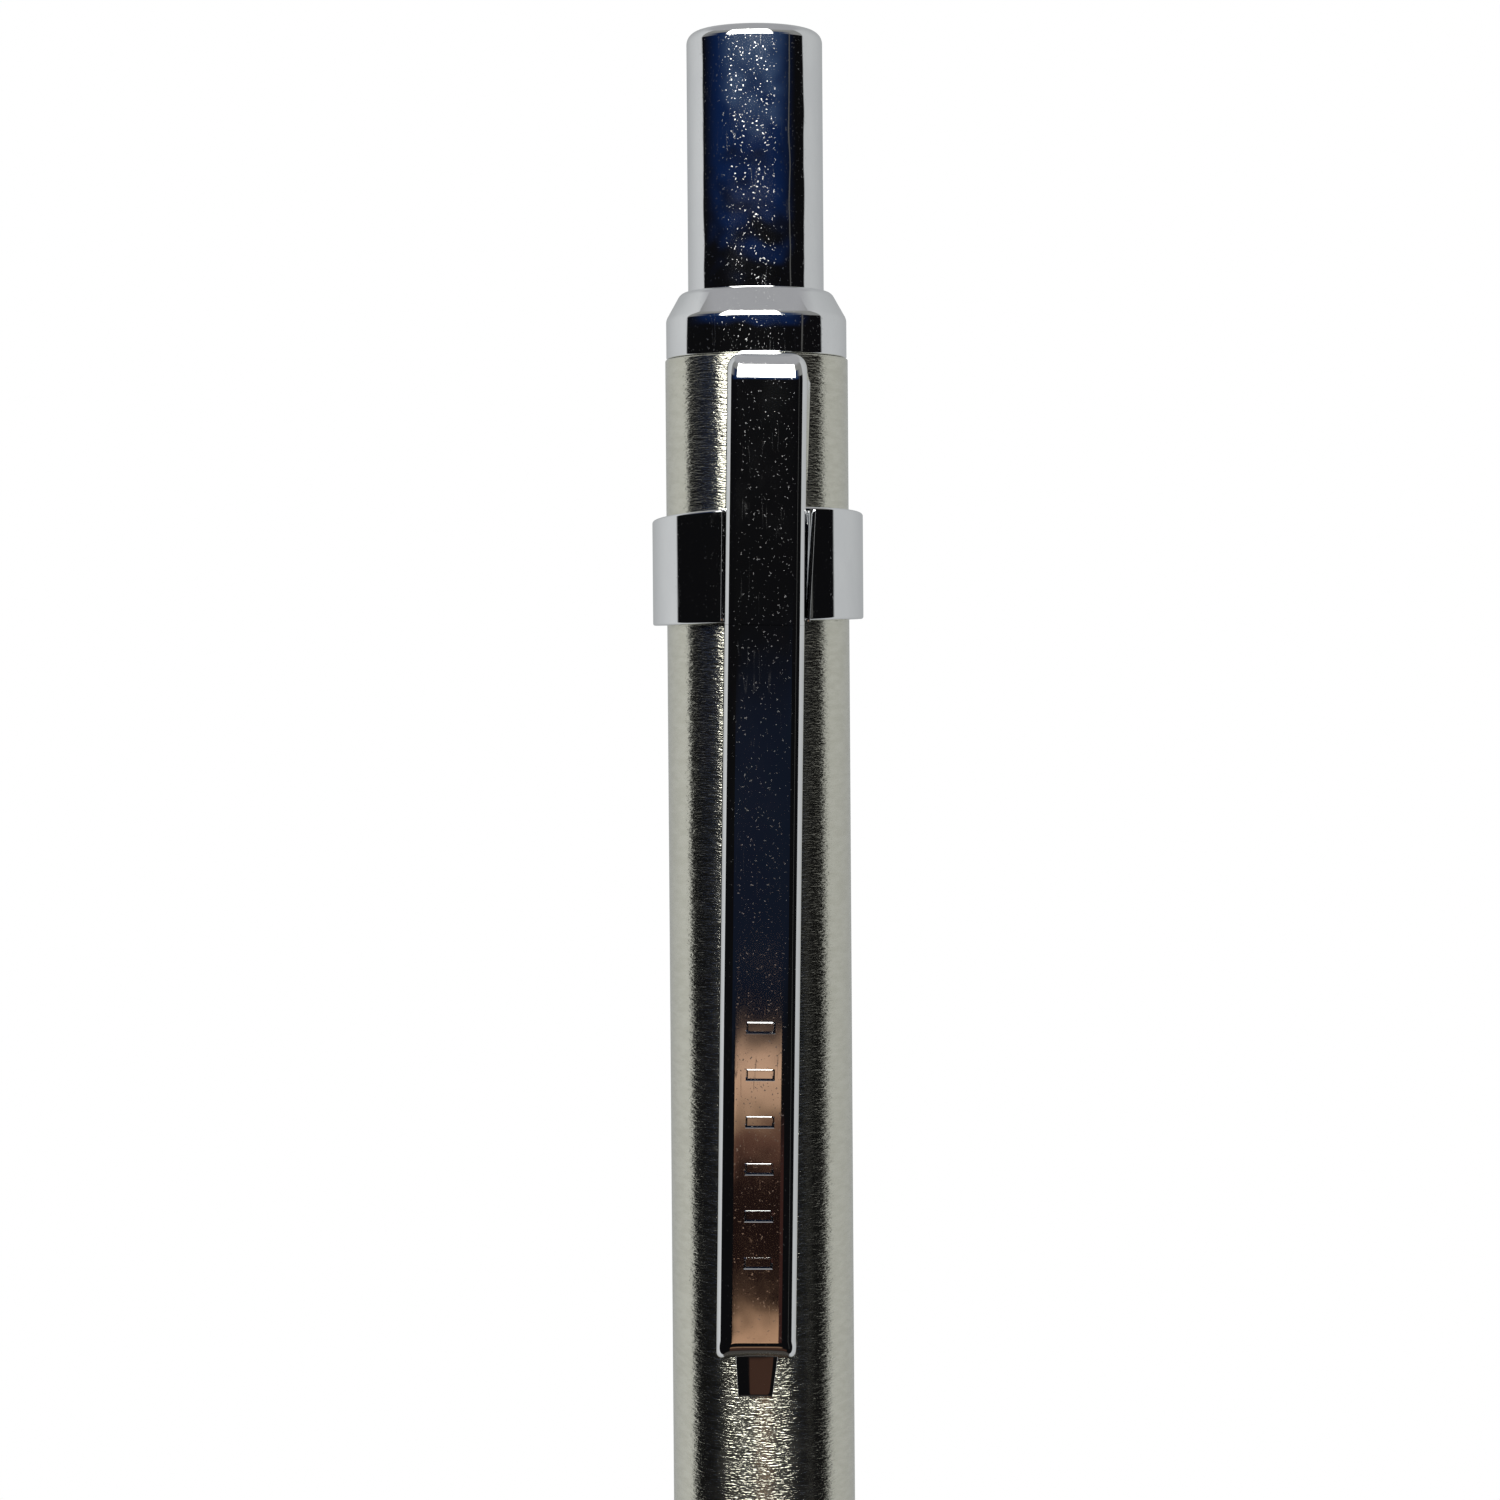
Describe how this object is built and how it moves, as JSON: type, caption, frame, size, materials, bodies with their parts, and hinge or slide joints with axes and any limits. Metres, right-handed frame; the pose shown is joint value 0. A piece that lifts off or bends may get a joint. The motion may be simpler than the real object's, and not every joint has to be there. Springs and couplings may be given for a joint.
{
  "type": "lead holder",
  "caption": "Drafting lead holder with a push button, sprung chuck, banded pocket clip and knurled grip.",
  "frame": {"origin": "on the holder's axis, in the plane of the nose's front face, where the lead comes out", "axes": "+Z along the holder's axis towards the push button; -Y out through the middle of the clip; +X to the right when the clip faces the viewer with the button up"},
  "size_m": [0.0093, 0.0108, 0.1503],
  "materials": {
    "satin_nickel": "satin nickel plate with a fine brushed grain round the barrel",
    "grip_metal": "satin nickel plate over a fine diamond knurl",
    "polished_chrome": "mirror chrome plate with light handling scratches",
    "clip_chrome": "mirror chrome plate over pressed sheet, lightly scratched",
    "hard_steel": "ground hardened steel",
    "chuck_brass": "machined brass",
    "coupling_brass": "machined brass with fine turning lines",
    "tube_steel": "drawn steel tube",
    "spring_steel": "drawn spring wire",
    "pointer_plastic": "moulded black plastic",
    "graphite": "grey graphite with a faint sheen"
  },
  "bodies": {
    "barrel": {"barrel_tube": "satin_nickel", "rear_collar": "polished_chrome", "grip_sleeve": "grip_metal", "nose_cone": "satin_nickel", "chuck_seat": "hard_steel", "front_coupling": "coupling_brass", "return_spring": "spring_steel", "clip_band": "clip_chrome"},
    "plunger": {"lead_tube": "tube_steel", "chuck_base": "chuck_brass", "spring_collar": "coupling_brass", "friction_sleeve": "spring_steel"},
    "jaw_1": {"chuck_jaw_1": "chuck_brass"},
    "jaw_2": {"chuck_jaw_2": "chuck_brass"},
    "jaw_3": {"chuck_jaw_3": "chuck_brass"},
    "lead": {"lead": "graphite"},
    "button": {"push_button": "polished_chrome", "pointer_body": "pointer_plastic", "pointer_blade": "hard_steel"},
    "clip": {"clip_arm": "clip_chrome"}
  },
  "joints": [
    {"name": "knock", "type": "slide", "parent": "barrel", "child": "plunger", "axis": [0, 0, -1], "range_m": [0, 0.0045], "stiffness_N_per_m": 667, "springref_m": -0.0045, "deforming": ["return_spring"]},
    {"name": "jaw_1_open", "type": "hinge", "parent": "plunger", "child": "jaw_1", "pos_m": [0.0015, 0, 0.012], "axis": [0, -1, 0], "range_deg": [0, 1.06]},
    {"name": "jaw_2_open", "type": "hinge", "parent": "plunger", "child": "jaw_2", "pos_m": [-0.00075, 0.0013, 0.012], "axis": [0.866, 0.5, 0], "range_deg": [0, 1.06]},
    {"name": "jaw_3_open", "type": "hinge", "parent": "plunger", "child": "jaw_3", "pos_m": [-0.00075, -0.0013, 0.012], "axis": [-0.866, 0.5, 0], "range_deg": [0, 1.06]},
    {"name": "lead_feed", "type": "slide", "parent": "plunger", "child": "lead", "axis": [0, 0, -1], "range_m": [-0.0058, 0.03]},
    {"name": "button_pull", "type": "slide", "parent": "plunger", "child": "button", "axis": [0, 0, 1], "range_m": [0, 0.012]},
    {"name": "clip_flex", "type": "hinge", "parent": "barrel", "child": "clip", "pos_m": [0, -0.0062, 0.11595], "axis": [-1, 0, 0], "range_deg": [0, 4], "stiffness_Nm_per_rad": 3, "springref_deg": -1.15}
  ],
  "couplings": [
    {"joint": "jaw_1_open", "follows": "knock", "rad_per_m": 4},
    {"joint": "jaw_2_open", "follows": "knock", "rad_per_m": 4},
    {"joint": "jaw_3_open", "follows": "knock", "rad_per_m": 4}
  ]
}
